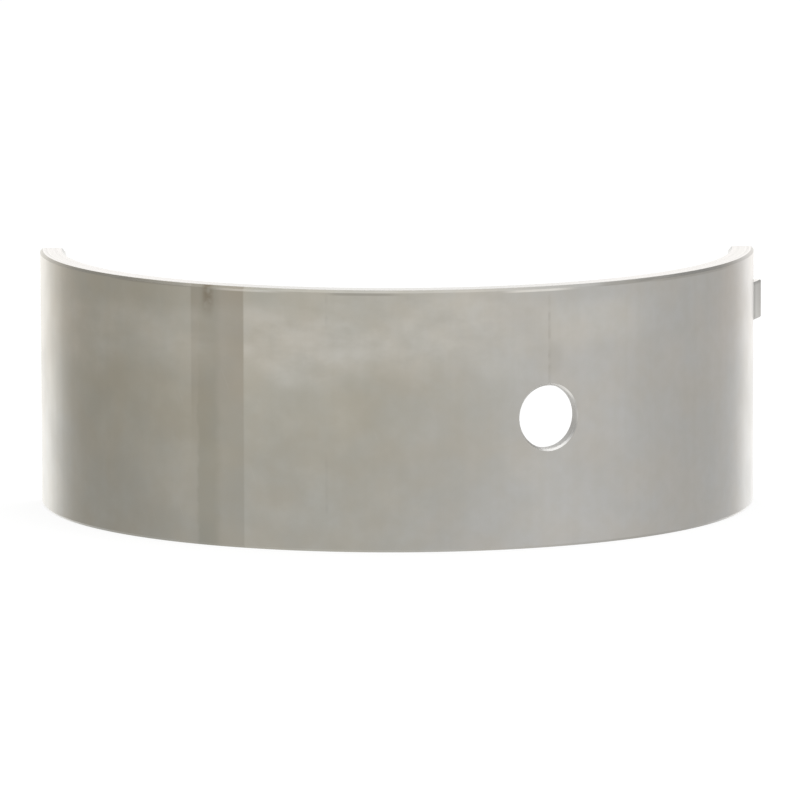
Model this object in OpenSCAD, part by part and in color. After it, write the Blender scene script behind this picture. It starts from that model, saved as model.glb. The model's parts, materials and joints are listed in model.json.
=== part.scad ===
// Upper half shell of a plain crankshaft bearing, rolled from one strip of steel-backed bearing metal.
// It stands on its lower side face. Z is the bearing axis, the crown of the back faces -Y, and the
// two joint faces lie on the plane Y = 0 and face +Y. The origin is on the axis, at mid-width.

/* [Shell] */
// Diameter of the back, which is the bore of the housing that holds the shell
housing_d = 70; // [56:0.5:100]
// Thickness of the wall, from the running surface to the back
wall = 2.5; // [2:0.1:4]
// Width of the shell along the bearing axis
shell_w = 25; // [20:0.5:40]

/* [Edges] */
// Chamfer on the back edge of each side face
back_chamfer = 0.25; // [0.1:0.05:0.6]
// Chamfer on the bore edge of each side face
bore_chamfer = 0.4; // [0.1:0.05:0.6]
// Bevel on the bore edge of each joint face
joint_bevel = 0.3; // [0.1:0.05:0.6]

/* [Oil feed] */
// Diameter of the oil hole
oil_hole_d = 6; // [3:0.25:8]
// Angle of the oil hole from the crown, towards the lug
oil_hole_angle = 24.3; // [0:0.1:50]
// Chamfer round the outer mouth of the oil hole
oil_hole_chamfer = 0.25; // [0.1:0.05:0.7]
// Width of the oil groove at the running surface
groove_w = 6.8; // [3:0.1:9]
// Depth of the oil groove below the running surface
groove_depth = 1.4; // [0.6:0.1:1.6]
// Lean of each side of the groove, which opens it towards the journal
groove_draft = 12; // [0:1:30]

/* [Locating lug] */
// Width of the lug along the bearing axis
lug_w = 3.7; // [2.5:0.1:5]
// Height of the lug above the back, at the joint face
lug_h = 0.75; // [0.5:0.05:1.5]
// Length of the lug's ramp, from the joint face to where it meets the back
lug_len = 2.5; // [2:0.25:6]
// Distance from the upper side face to the lug
lug_inset = 3.3; // [1:0.1:5]
// Radius of the two outer corners of the lug
lug_corner_r = 0.15; // [0.1:0.05:0.8]
// Depth of the recess that is pressed into the bore behind the lug, at the joint face
recess_depth = 0.9; // [0.5:0.1:1.5]

/* [Hidden] */
$fn = 180;
back_r = housing_d / 2;
bore_r = back_r - wall;
half_w = shell_w / 2;
lug_z = half_w - lug_inset - lug_w / 2;
// Overrun of a cutter past the surface that it cuts
over = 1;

// Section of the wall in a plane through the axis, with all four edges chamfered
module wall_section() {
  polygon([
    [bore_r, half_w - bore_chamfer],
    [bore_r + bore_chamfer, half_w],
    [back_r - back_chamfer, half_w],
    [back_r, half_w - back_chamfer],
    [back_r, back_chamfer - half_w],
    [back_r - back_chamfer, -half_w],
    [bore_r + bore_chamfer, -half_w],
    [bore_r, bore_chamfer - half_w]
  ]);
}

// The wall swept through half a turn, from one joint face round the crown to the other
module half_ring() {
  rotate([0, 0, 180])
    rotate_extrude(angle = 180)
      wall_section();
}

// Outline of a ramp on a circle of radius r: it leaves the circle at the lug's length from the joint
// plane and stands out by rise at that plane. It reaches inwards by depth, and past the plane by past.
module ramp_outline(r, rise, depth, past) {
  toe_x = sqrt(r * r - lug_len * lug_len);
  slope = (r + rise - toe_x) / lug_len;
  polygon([
    [toe_x, -lug_len],
    [r + rise + slope * past, past],
    [r - depth, past],
    [toe_x - depth, -lug_len]
  ]);
}

// Face of the lug seen along the strip: a tab whose two outer corners are round
module lug_face() {
  tip_x = back_r + lug_h;
  corner_z = lug_w / 2 - lug_corner_r;
  translate([bore_r, -corner_z])
    square([tip_x - bore_r, 2 * corner_z]);
  translate([bore_r, -lug_w / 2])
    square([tip_x - lug_corner_r - bore_r, lug_w]);
  for (side = [-1, 1])
    translate([tip_x - lug_corner_r, side * corner_z])
      circle(lug_corner_r);
}

// The lug that is pressed out of the wall at the +X joint face, highest at the joint
module locating_lug() {
  translate([0, 0, lug_z])
    intersection() {
      translate([0, 0, -lug_w / 2])
        linear_extrude(lug_w)
          ramp_outline(back_r, lug_h, wall / 2, 0);
      rotate([90, 0, 0])
        linear_extrude(2 * (lug_len + over), center = true)
          lug_face();
    }
}

// The recess that the press leaves in the bore behind the lug
module lug_recess() {
  translate([0, 0, lug_z - lug_w / 2])
    linear_extrude(lug_w)
      ramp_outline(bore_r, recess_depth, over, over);
}

// Section of the groove: a flat floor between two leaning sides, which run on past the running surface
module groove_section() {
  floor_half = groove_w / 2 - groove_depth * tan(groove_draft);
  mouth_half = groove_w / 2 + over * tan(groove_draft);
  polygon([
    [bore_r - over, mouth_half],
    [bore_r + groove_depth, floor_half],
    [bore_r + groove_depth, -floor_half],
    [bore_r - over, -mouth_half]
  ]);
}

// The groove that carries oil round the running surface, open at both joint faces
module oil_groove() {
  rotate_extrude()
    groove_section();
}

// The radial hole that feeds the groove, with a chamfered mouth in the back
module oil_hole() {
  mouth_r = oil_hole_d / 2 + oil_hole_chamfer;
  rotate([90, 0, oil_hole_angle]) {
    translate([0, 0, bore_r - over])
      cylinder(h = wall + 2 * over, d = oil_hole_d);
    translate([0, 0, back_r - oil_hole_chamfer])
      cylinder(h = oil_hole_chamfer + over, r1 = oil_hole_d / 2, r2 = mouth_r + over);
  }
}

// The bevels that break the bore edges of the two joint faces
module joint_bevels() {
  for (side = [-1, 1])
    translate([side * bore_r, 0, -half_w - over])
      rotate([0, 0, 45])
        translate([-joint_bevel / sqrt(2), -joint_bevel / sqrt(2), 0])
          cube([joint_bevel * sqrt(2), joint_bevel * sqrt(2), shell_w + 2 * over]);
}

// The shell: the rolled wall with its pressed lug, less the grooving, drilling and bevelling
module bearing_shell() {
  color([0.67, 0.65, 0.61])
    difference() {
      union() {
        half_ring();
        locating_lug();
      }
      lug_recess();
      oil_groove();
      oil_hole();
      joint_bevels();
    }
}

bearing_shell();
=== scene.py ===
"""Studio scene of one upper half shell of a plain crankshaft bearing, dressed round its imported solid.

The shell is shaped again as a finer mesh of the same form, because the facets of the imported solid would
show in satin metal. The frame is the part's own: Z is the bearing axis, the crown of the back faces -Y,
the joint faces lie on the plane Y = 0, and the lug is at the +X end. Lengths are metres; a node that
reads the shell's coordinates gets millimetres and degrees.
"""

import json
import logging
import math
from dataclasses import dataclass
from enum import Enum
from typing import Any, NamedTuple

import bmesh
import bpy
from mathutils import Matrix, Vector


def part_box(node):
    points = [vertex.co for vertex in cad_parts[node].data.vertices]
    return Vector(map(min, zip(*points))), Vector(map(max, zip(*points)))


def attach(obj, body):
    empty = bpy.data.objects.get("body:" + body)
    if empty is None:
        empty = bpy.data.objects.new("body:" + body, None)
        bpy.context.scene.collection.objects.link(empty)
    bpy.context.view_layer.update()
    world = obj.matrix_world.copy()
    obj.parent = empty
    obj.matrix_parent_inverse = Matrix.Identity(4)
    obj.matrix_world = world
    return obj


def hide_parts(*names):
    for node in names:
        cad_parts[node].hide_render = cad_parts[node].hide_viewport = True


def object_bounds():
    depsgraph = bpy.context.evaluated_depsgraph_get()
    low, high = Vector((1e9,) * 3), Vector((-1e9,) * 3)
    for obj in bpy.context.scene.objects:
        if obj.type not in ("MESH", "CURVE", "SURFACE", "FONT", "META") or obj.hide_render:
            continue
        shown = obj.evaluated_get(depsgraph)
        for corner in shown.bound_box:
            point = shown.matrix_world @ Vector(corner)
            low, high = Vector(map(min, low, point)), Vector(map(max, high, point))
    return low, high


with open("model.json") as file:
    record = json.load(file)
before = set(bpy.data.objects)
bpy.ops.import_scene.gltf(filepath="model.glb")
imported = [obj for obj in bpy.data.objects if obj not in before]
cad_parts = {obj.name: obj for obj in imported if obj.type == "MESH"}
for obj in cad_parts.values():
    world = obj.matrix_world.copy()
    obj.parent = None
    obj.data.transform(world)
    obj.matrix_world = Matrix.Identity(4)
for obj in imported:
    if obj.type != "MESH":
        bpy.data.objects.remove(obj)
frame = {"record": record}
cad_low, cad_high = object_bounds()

LOG = logging.getLogger("bearing_shell")
MM = 0.001
PER_MM = 1 / MM
FULL_TURN = 360.0
NODE = "bearing_shell"
BODY = "root"

Color = tuple[float, float, float]
Point = tuple[float, float, float]
Span = tuple[float, float]
Inputs = dict[str | int, Any]
Socket = bpy.types.NodeSocket

ORIGIN: Point = (0.0, 0.0, 0.0)
EVEN: Point = (1.0, 1.0, 1.0)


class Region(Enum):
    """Surfaces of the shell, each with a finish of its own."""

    BACK = "stained_steel_back"
    EDGE = "machined_steel_edge"
    HOLE = "drilled_oil_hole"
    BORE = "bored_running_lining"


class Joining(Enum):
    """Ways to put two solids together."""

    UNION = "UNION"
    DIFFERENCE = "DIFFERENCE"
    INTERSECT = "INTERSECT"


class Ramp(NamedTuple):
    """A soft step: where it begins and ends, and what it gives at each."""

    low: float
    high: float
    start: float = 0.0
    end: float = 1.0


class Window(NamedTuple):
    """Two bounds, and how far outside each of them a fade reaches."""

    low: float
    high: float
    fade_in: float
    fade_out: float


class Noise(NamedTuple):
    """A noise: waves to a millimetre, finer layers, and a factor on each axis, small along its grain."""

    scale: float
    detail: float = 3.0
    stretch: Point = EVEN


class Clouds(NamedTuple):
    """Cloudy patches: waves to a millimetre, and the levels of noise between which a patch comes in."""

    scale: float
    low: float = 0.35
    high: float = 0.65


class Lines(NamedTuple):
    """Parallel lines: the distance between them and how far they waver, in millimetres."""

    pitch: float
    waver: float


class Scratches(NamedTuple):
    """Hairline scratches: length and width in millimetres, share of cells with one, and turn in radians."""

    length: float
    width: float
    share: float
    turn: float = 0.0


Effect = Clouds | Lines | Scratches


def rgba(color: Color) -> tuple[float, float, float, float]:
    """Gives a colour its full alpha, as a colour socket wants it."""
    return (*color, 1.0)


def flat_corners(*corners: Span) -> list[Vector]:
    """Sets corners, each given by two coordinates, in the XY plane."""
    return [Vector((x, y, 0.0)) for x, y in corners]


class NodeWriter:
    """Adds nodes to one node tree and links them."""

    COLUMN = 190.0

    def __init__(self, tree: bpy.types.NodeTree) -> None:
        """Keeps the tree that the nodes go into."""
        self.tree = tree

    def feed(self, socket: Socket, value: Any) -> None:
        """Links an input to one socket or to several, or sets its value.

        Args:
            socket: the input.
            value: a socket, a list of sockets for an input that takes many, or a plain value.
        """
        if isinstance(value, Socket):
            self.tree.links.new(value, socket)
        elif isinstance(value, list):
            for source in value:
                self.tree.links.new(source, socket)
        else:
            socket.default_value = value

    def add(self, kind: str, inputs: Inputs | None = None, **options: Any) -> bpy.types.Node:
        """Adds one node to the right of the last.

        Args:
            kind: the type of the node.
            inputs: what each input gets, by its name or its place.
            options: the node's own settings.

        Returns:
            The new node.
        """
        node = self.tree.nodes.new(kind)
        node.location.x = self.COLUMN * len(self.tree.nodes)
        for name, value in options.items():
            setattr(node, name, value)
        for key, value in (inputs or {}).items():
            self.feed(node.inputs[key], value)
        return node

    def out(self, kind: str, inputs: Inputs | None = None, **options: Any) -> Socket:
        """Adds one node and returns its first output."""
        return self.add(kind, inputs, **options).outputs[0]

    def vectors(self, operation: str, first: Any, second: Any = ORIGIN) -> Any:
        """Adds a Vector Math node and returns its outputs."""
        return self.add("ShaderNodeVectorMath", {0: first, 1: second}, operation=operation).outputs


class ShaderWriter(NodeWriter):
    """Adds shader nodes, with short calls for the sums that the finishes use most."""

    MIX_FACTOR = 0
    MIX_FIRST = 6
    MIX_SECOND = 7
    MIX_RESULT = 2
    NOISE_MEAN = 0.5

    def math(self, operation: str, first: Any, second: Any = 0.0) -> Socket:
        """Adds a Math node and returns its value."""
        return self.out("ShaderNodeMath", {0: first, 1: second}, operation=operation)

    def times(self, first: Any, *others: Any) -> Socket:
        """Multiplies values.

        Args:
            first: the first value.
            others: the values that it is multiplied by.

        Returns:
            The product.
        """
        for other in others:
            first = self.math("MULTIPLY", first, other)
        return first

    def most(self, first: Any, second: Any) -> Socket:
        """Takes the greater of two values."""
        return self.math("MAXIMUM", first, second)

    def sway(self, value: Any, noise: Socket, reach: Any) -> Socket:
        """Moves a value up and down by a noise.

        Args:
            value: the value to move.
            noise: the noise, from 0 to 1.
            reach: how far apart the noise puts its two ends.

        Returns:
            The moved value.
        """
        drift = self.math("SUBTRACT", noise, self.NOISE_MEAN)
        return self.math("ADD", value, self.times(drift, reach))

    def step(self, value: Any, low: float, high: float, start: float = 0.0, end: float = 1.0) -> Socket:
        """Turns a value into a soft step.

        Args:
            value: the value to map.
            low: where the step begins.
            high: where the step ends.
            start: what the step gives up to its beginning.
            end: what the step gives from its end on.

        Returns:
            The mapped value, which never leaves the range from start to end.
        """
        inputs = {"Value": value, "From Min": low, "From Max": high, "To Min": start, "To Max": end}
        return self.out("ShaderNodeMapRange", inputs, interpolation_type="SMOOTHSTEP")

    def window(self, value: Any, low: float, high: float, fade_in: float, fade_out: float) -> Socket:
        """Gives 1 between two bounds and fades to 0 outside them.

        Args:
            value: the value to test.
            low: the lower bound.
            high: the upper bound.
            fade_in: how far below the lower bound the fade begins.
            fade_out: how far above the upper bound the fade ends.

        Returns:
            The mask.
        """
        rise = self.step(value, low - fade_in, low)
        fall = self.step(value, high, high + fade_out, 1.0, 0.0)
        return self.times(rise, fall)

    def mix(self, factor: Any, first: Any, second: Any, blend: str = "MIX") -> Socket:
        """Mixes two colours.

        Args:
            factor: the share of the second colour.
            first: the colour below.
            second: the colour above.
            blend: how the second is laid on the first.

        Returns:
            The mixed colour.
        """
        inputs: Inputs = {self.MIX_FACTOR: factor}
        for place, color in ((self.MIX_FIRST, first), (self.MIX_SECOND, second)):
            inputs[place] = rgba(color) if isinstance(color, tuple) else color
        node = self.add("ShaderNodeMix", inputs, data_type="RGBA", blend_type=blend)
        return node.outputs[self.MIX_RESULT]

    def noise(self, vector: Any, scale: Any, detail: float, stretch: Point = EVEN) -> Socket:
        """Adds a noise texture.

        Args:
            vector: where the noise is read, in millimetres.
            scale: how many waves there are to a millimetre.
            detail: how many finer layers are added.
            stretch: a factor on each axis, small along the axis that the noise is drawn out on.

        Returns:
            The noise, about 0.5 on the average.
        """
        place = self.vectors("MULTIPLY", vector, stretch)[0]
        return self.out("ShaderNodeTexNoise", {"Vector": place, "Scale": scale, "Detail": detail})

    def group(self, tree: bpy.types.NodeTree, inputs: Inputs | None = None) -> Any:
        """Places a shared node group with its own values and returns its outputs."""
        return self.add("ShaderNodeGroup", inputs, node_tree=tree).outputs


def fresh_nodes(owner: bpy.types.Material | bpy.types.World) -> ShaderWriter:
    """Empties the node tree of a material or a world.

    Args:
        owner: the material or the world.

    Returns:
        A writer for its nodes.
    """
    owner.use_nodes = True
    owner.node_tree.nodes.clear()
    return ShaderWriter(owner.node_tree)


class FinishGroups:
    """The shader node groups that the finishes share."""

    CLOUD_DETAIL = 4.0
    BEND = Noise(0.08, 1.0)
    LINE_WAVES = 1.0
    LINE_DETAIL = 3.0
    LINE_WEIGHT = Ramp(0.3, 0.7)
    SCRATCH_CELLS = 0.25
    SCRATCH_STROKE = Ramp(0.06, 0.16, 1.0, 0.0)

    def __init__(self, back_r: float) -> None:
        """Builds every group.

        Args:
            back_r: radius of the back, on which the shell's surface is unrolled.
        """
        self.back_r = back_r
        self.coordinates = self._coordinates()
        self.clouds = self._clouds()
        self.lines = self._lines()
        self.scratches = self._scratches()

    @staticmethod
    def _new(name: str, inputs: dict[str, float | None], outputs: dict[str, str]) -> ShaderWriter:
        """Starts a group.

        Args:
            name: the group's name.
            inputs: each input's default value, or None for a vector.
            outputs: each output's kind.

        Returns:
            A writer for the group's nodes.
        """
        tree = bpy.data.node_groups.new(name, "ShaderNodeTree")
        for label, default in inputs.items():
            kind = "NodeSocketVector" if default is None else "NodeSocketFloat"
            item = tree.interface.new_socket(label, in_out="INPUT", socket_type=kind)
            if default is not None:
                item.default_value = default
        for label, kind in outputs.items():
            tree.interface.new_socket(label, in_out="OUTPUT", socket_type=f"NodeSocket{kind}")
        return ShaderWriter(tree)

    def _coordinates(self) -> bpy.types.NodeTree:
        """Unrolls the shell: angle from the crown, height over mid-width and distance from the axis.

        Returns:
            The group.
        """
        kinds = dict.fromkeys(("Angle", "Arc", "Height", "Radius"), "Float")
        nodes = self._new("shell_coordinates", {}, {**kinds, "Unrolled": "Vector"})
        place = nodes.add("ShaderNodeTexCoord").outputs["Object"]
        axes = nodes.add("ShaderNodeSeparateXYZ", {0: place}).outputs
        turn = nodes.math("ARCTAN2", axes["X"], nodes.times(axes["Y"], -1.0))
        arc = nodes.times(turn, self.back_r * PER_MM)
        height = nodes.times(axes["Z"], PER_MM)
        flat = nodes.vectors("MULTIPLY", place, (PER_MM, PER_MM, 0.0))[0]
        radius = nodes.vectors("LENGTH", flat)["Value"]
        unrolled = nodes.out("ShaderNodeCombineXYZ", {"X": arc, "Y": height, "Z": radius})
        angle = nodes.math("DEGREES", turn)
        results = {"Angle": angle, "Arc": arc, "Height": height, "Radius": radius, "Unrolled": unrolled}
        nodes.add("NodeGroupOutput", results)
        return nodes.tree

    def _clouds(self) -> bpy.types.NodeTree:
        """Soft cloudy patches, such as oil, heat and handling leave on bare metal.

        Returns:
            The group.
        """
        inputs = {"Vector": None, "Scale": 0.2, "Low": 0.35, "High": 0.65}
        nodes = self._new("cloudy_patches", inputs, {"Mask": "Float"})
        given = nodes.add("NodeGroupInput").outputs
        noise = nodes.noise(given["Vector"], given["Scale"], self.CLOUD_DETAIL)
        nodes.add("NodeGroupOutput", {"Mask": nodes.step(noise, given["Low"], given["High"])})
        return nodes.tree

    def _lines(self) -> bpy.types.NodeTree:
        """Parallel lines of uneven weight, such as a roller or a cutting tool leaves.

        Returns:
            The group.
        """
        inputs = {"Vector": None, "Position": 0.0, "Pitch": 0.2, "Waver": 0.1}
        nodes = self._new("tool_lines", inputs, {"Mask": "Float"})
        given = nodes.add("NodeGroupInput").outputs
        bend = nodes.noise(given["Vector"], *self.BEND)
        place = nodes.math("DIVIDE", nodes.sway(given["Position"], bend, given["Waver"]), given["Pitch"])
        wave = {"W": place, "Scale": self.LINE_WAVES, "Detail": self.LINE_DETAIL}
        weight = nodes.out("ShaderNodeTexNoise", wave, noise_dimensions="1D")
        nodes.add("NodeGroupOutput", {"Mask": nodes.step(weight, *self.LINE_WEIGHT)})
        return nodes.tree

    def _scratches(self) -> bpy.types.NodeTree:
        """Short hairline scratches, sparse and all roughly one way.

        Returns:
            The group.
        """
        inputs = {"Vector": None, "Turn": 0.0, "Length": 3.0, "Width": 0.1, "Share": 0.2}
        nodes = self._new("hairline_scratches", inputs, {"Mask": "Float"})
        given = nodes.add("NodeGroupInput").outputs
        turned = nodes.out("ShaderNodeVectorRotate", {"Vector": given["Vector"], "Angle": given["Turn"]})
        cell = nodes.out("ShaderNodeCombineXYZ", {"X": given["Length"], "Y": given["Width"], "Z": 1.0})
        place = {"Vector": nodes.vectors("DIVIDE", turned, cell)[0], "Scale": self.SCRATCH_CELLS}
        cells = nodes.add("ShaderNodeTexVoronoi", place, voronoi_dimensions="2D").outputs
        stroke = nodes.step(cells["Distance"], *self.SCRATCH_STROKE)
        draw = nodes.out("ShaderNodeSeparateColor", {0: cells["Color"]})
        kept = nodes.math("LESS_THAN", draw, given["Share"])
        nodes.add("NodeGroupOutput", {"Mask": nodes.times(stroke, kept)})
        return nodes.tree


class MetalFinish:
    """A bare metal finish: starts its material, places the shared groups and ends it in one shader."""

    def __init__(self, region: Region, groups: FinishGroups) -> None:
        """Starts an empty material.

        Args:
            region: the surface that the finish is for, which names the material.
            groups: the shared node groups.
        """
        self.groups = groups
        self.material = bpy.data.materials.new(region.value)
        self.nodes = fresh_nodes(self.material)
        shell = self.nodes.group(groups.coordinates)
        self.angle = shell["Angle"]
        self.arc = shell["Arc"]
        self.height = shell["Height"]
        self.radius = shell["Radius"]
        self.unrolled = shell["Unrolled"]

    def _effect(self, tree: bpy.types.NodeTree, form: Effect, inputs: Inputs | None = None) -> Socket:
        """Places a shared group over the unrolled shell.

        Args:
            tree: the group.
            form: its values, each named as the input that takes it.
            inputs: what other inputs get.

        Returns:
            The group's mask.
        """
        given = {name.title(): value for name, value in form._asdict().items()}
        return self.nodes.group(tree, {"Vector": self.unrolled, **given, **(inputs or {})})[0]

    def clouds(self, form: Clouds) -> Socket:
        """Adds cloudy patches."""
        return self._effect(self.groups.clouds, form)

    def lines(self, position: Socket, form: Lines) -> Socket:
        """Adds parallel lines across a position."""
        return self._effect(self.groups.lines, form, {"Position": position})

    def scratches(self, form: Scratches) -> Socket:
        """Adds hairline scratches."""
        return self._effect(self.groups.scratches, form)

    def noise(self, form: Noise) -> Socket:
        """Adds a noise over the unrolled shell."""
        return self.nodes.noise(self.unrolled, *form)

    def close(self, color: Socket, roughness: Socket, relief: Socket, depth: float) -> bpy.types.Material:
        """Adds the metal's shader.

        Args:
            color: the metal's reflected colour.
            roughness: its roughness.
            relief: its height, from 0 to 1.
            depth: what a height of 1 measures.

        Returns:
            The finished material.
        """
        bump = self.nodes.out("ShaderNodeBump", {"Strength": 1.0, "Distance": depth, "Height": relief})
        inputs = {"Base Color": color, "Metallic": 1.0, "Roughness": roughness, "Normal": bump}
        metal = self.nodes.out("ShaderNodeBsdfPrincipled", inputs)
        self.nodes.add("ShaderNodeOutputMaterial", {"Surface": metal})
        return self.material


@dataclass(frozen=True)
class Patch:
    """A soft-edged patch of the back, in degrees from the crown and millimetres over mid-width."""

    angles: Window
    heights: Window
    weight: float

    def mask(self, finish: MetalFinish, height: Socket | None = None) -> Socket:
        """Masks the patch.

        Args:
            finish: the finish that the patch is part of.
            height: the height to test, where it isn't the plain one.

        Returns:
            The mask, which is the patch's weight at its middle.
        """
        across = finish.nodes.window(finish.angle, *self.angles)
        along = finish.nodes.window(finish.height if height is None else height, *self.heights)
        return finish.nodes.times(across, along, self.weight)


@dataclass(frozen=True)
class SteelBack:
    """Satin rolled steel of the back, with the tones and marks of rolling, oil and handling, painted shade
    along the upper edge and on the lug, and painted highlights on the upper chamfer.

    Bounds across the back are degrees from the crown, bounds along it are millimetres over mid-width.
    """

    olive_steel: Color = (0.449, 0.436, 0.384)
    grey_steel: Color = (0.450, 0.442, 0.422)
    dull_patch: Color = (0.345, 0.322, 0.262)
    brown_film: Color = (0.331, 0.312, 0.260)
    red_film: Color = (0.335, 0.300, 0.252)
    olive_core: Color = (0.252, 0.248, 0.200)
    wiped_film: Color = (0.570, 0.552, 0.505)
    brown_spot: Color = (0.190, 0.155, 0.110)
    # colour of the die lines, and of the painted shade along the upper edge
    die_line: Color = (0.270, 0.255, 0.225)
    # colour of the painted highlights along the upper chamfer
    burnished_edge: Color = (0.800, 0.780, 0.730)
    warm_tint: Color = (1.022, 0.996, 0.985)
    cool_tint: Color = (0.982, 1.000, 1.045)
    pressed_lug: Color = (0.500, 0.491, 0.472)
    # painted shadow at the lug's foot, and painted shade towards its upper edge
    lug_foot: Color = (0.320, 0.314, 0.300)
    lug_brow: Color = (0.150, 0.146, 0.138)

    roughness: float = 0.28
    patch_roughness: float = 0.03
    lug_roughness: float = 0.40
    grain: Noise = Noise(9.0, 2.0, (1.0, 0.35, 1.0))
    grain_depth: float = 0.0012 * MM

    cast: Ramp = Ramp(-11.0, 31.0)
    cast_noise: Noise = Noise(0.09, 2.0)
    cast_reach: float = 26.0
    patches: Clouds = Clouds(0.16)
    patch_share: Ramp = Ramp(0.0, 1.0, 0.24, 0.10)
    blotches: Clouds = Clouds(0.30, 0.25)
    blotch_share: Ramp = Ramp(-34.0, 28.0, 0.30, 0.0)
    blotch_fall: Ramp = Ramp(0.0, 7.0, 1.0, 0.1)

    film_edge: Ramp = Ramp(-24.75, -24.45, 1.0, 0.0)
    film_share: float = 0.28
    red_rise: Ramp = Ramp(-4.0, 5.0)
    strip_edge: Ramp = Ramp(-34.25, -33.85)
    strip_haze: Ramp = Ramp(-35.0, -31.6)
    strip_share: float = 0.43
    strip_brim: Ramp = Ramp(9.4, 11.6, 0.0, 0.13)
    rind_share: Ramp = Ramp(-32.2, -30.6, 0.18, 0.0)
    core: Window = Window(-32.5, -29.9, 0.8, 1.6)
    core_noise: Noise = Noise(0.5, 2.0)
    core_reach: float = 1.6
    core_share: Ramp = Ramp(-12.0, -8.5, 0.38, 0.30)

    wipe_noise: Noise = Noise(0.13, 4.0, (1.0, 0.4, 1.0))
    wipe_foot: Ramp = Ramp(2.6, 6.6)
    wipe_foot_reach: float = 7.0
    wipe_top: Ramp = Ramp(8.8, 11.4, 1.0, 0.0)
    wipe_top_reach: float = 3.0
    wipe_brink: Ramp = Ramp(-22.0, 2.0, 0.10, 0.70)
    wipe_crown: Window = Window(-24.4, 9.0, 0.3, 18.0)
    wipe_plain: Window = Window(-62.0, -36.0, 6.0, 12.0)
    wipe_plain_share: float = 0.45
    wipe_strokes: Noise = Noise(0.40, 5.0, (0.45, 1.0, 1.0))
    wipe_weight: Ramp = Ramp(0.30, 0.70, 0.30, 0.85)
    low_end: Patch = Patch(Window(-90.0, -70.0, 1.0, 12.0), Window(-12.5, -4.0, 1.0, 8.0), 0.3)
    smear: Patch = Patch(Window(26.0, 36.0, 9.0, 11.0), Window(8.0, 9.4, 2.6, 2.2), 0.3)

    die_lines: tuple[Patch, ...] = (
        Patch(Window(-11.09, -11.01, 0.25, 0.45), Window(9.8, 11.2, 1.6, 1.6), 0.15),
        Patch(Window(-11.14, -11.06, 0.25, 0.45), Window(-9.0, -4.0, 1.6, 1.6), 0.15),
        Patch(Window(24.26, 24.34, 0.25, 0.45), Window(3.6, 10.6, 1.6, 1.6), 0.3),
    )
    line_noise: Noise = Noise(0.8, stretch=(0.0, 1.0, 0.0))
    line_breaks: Ramp = Ramp(0.35, 0.65, 0.2, 1.0)
    smudge: Patch = Patch(Window(24.6, 25.8, 0.4, 1.6), Window(5.0, 6.4, 1.4, 1.4), 0.14)
    spot: Patch = Patch(Window(-31.2, -30.6, 1.1, 1.1), Window(12.2, 12.5, 3.4, 1.0), 0.75)
    spot_noise: Noise = Noise(0.9)
    spot_specks: Ramp = Ramp(0.25, 0.58)
    # painted shade along the upper edge and its chamfer
    edge_shades: tuple[Patch, ...] = (
        Patch(Window(-9.0, -2.0, 2.5, 3.5), Window(12.05, 12.22, 0.10, 0.05), 0.48),
        Patch(Window(-48.0, -36.5, 4.0, 4.0), Window(12.18, 12.42, 0.08, 0.06), 0.50),
        Patch(Window(35.0, 43.0, 3.0, 4.0), Window(12.18, 12.42, 0.08, 0.06), 0.50),
        Patch(Window(48.0, 63.0, 5.0, 6.0), Window(12.08, 12.24, 0.10, 0.08), 0.42),
    )
    # painted highlights along the upper chamfer
    edge_glints: tuple[Patch, ...] = (
        Patch(Window(-26.0, -22.5, 6.0, 6.0), Window(12.12, 12.25, 0.05, 0.04), 0.45),
        Patch(Window(20.5, 25.0, 5.0, 5.5), Window(12.08, 12.24, 0.05, 0.04), 0.66),
    )

    tint_ends: Ramp = Ramp(54.0, 68.0)
    cool_side: Ramp = Ramp(0.0, 24.0, 1.0, 0.2)
    cool_fall: Ramp = Ramp(-10.0, 2.0, 1.0, 0.0)
    cool_drop: float = 7.0
    warm_rise: Ramp = Ramp(0.0, 6.0)
    tints: Clouds = Clouds(0.24, 0.30, 0.70)
    tint_share: float = 0.6

    streaks: Lines = Lines(1.3, 0.3)
    streak_share: Ramp = Ramp(-70.0, -58.0, 0.14, 0.05)
    mottle: Clouds = Clouds(0.8)
    mottle_share: float = 0.09
    hairs: Scratches = Scratches(2.4, 0.05, 0.035, 1.2)
    hair_share: float = 0.12

    lug_rise: Ramp = Ramp(0.01, 0.04)
    # painted shadow, fading out as the lug stands further from the back
    foot_rise: Ramp = Ramp(0.05, 0.30)
    # painted shade towards the lug's upper edge
    brow_shade: Ramp = Ramp(5.4, 8.8, 0.0, 0.24)
    brow_edge: Ramp = Ramp(8.6, 9.1, 0.0, 0.7)

    def build(self, groups: FinishGroups, back_r: float) -> bpy.types.Material:
        """Makes the material of the back.

        Args:
            groups: the shared node groups.
            back_r: radius of the back, which only the lug stands out from.

        Returns:
            The material.
        """
        finish = MetalFinish(Region.BACK, groups)
        nodes = finish.nodes
        patches = finish.clouds(self.patches)
        color = self._steel(finish, patches)
        color = self._film(finish, color)
        color = nodes.mix(self._wiped_mask(finish), color, self.wiped_film)
        color = self._marks(finish, color)
        color = self._tints(finish, color)
        color = self._wear(finish, color)
        rise = nodes.math("SUBTRACT", finish.radius, back_r * PER_MM)
        lug = nodes.step(rise, *self.lug_rise)
        color = nodes.mix(lug, color, self._lug(finish, rise))
        satin = nodes.step(lug, 0.0, 1.0, self.roughness, self.lug_roughness)
        roughness = nodes.math("ADD", satin, nodes.times(patches, self.patch_roughness))
        return finish.close(color, roughness, finish.noise(self.grain), self.grain_depth)

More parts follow.
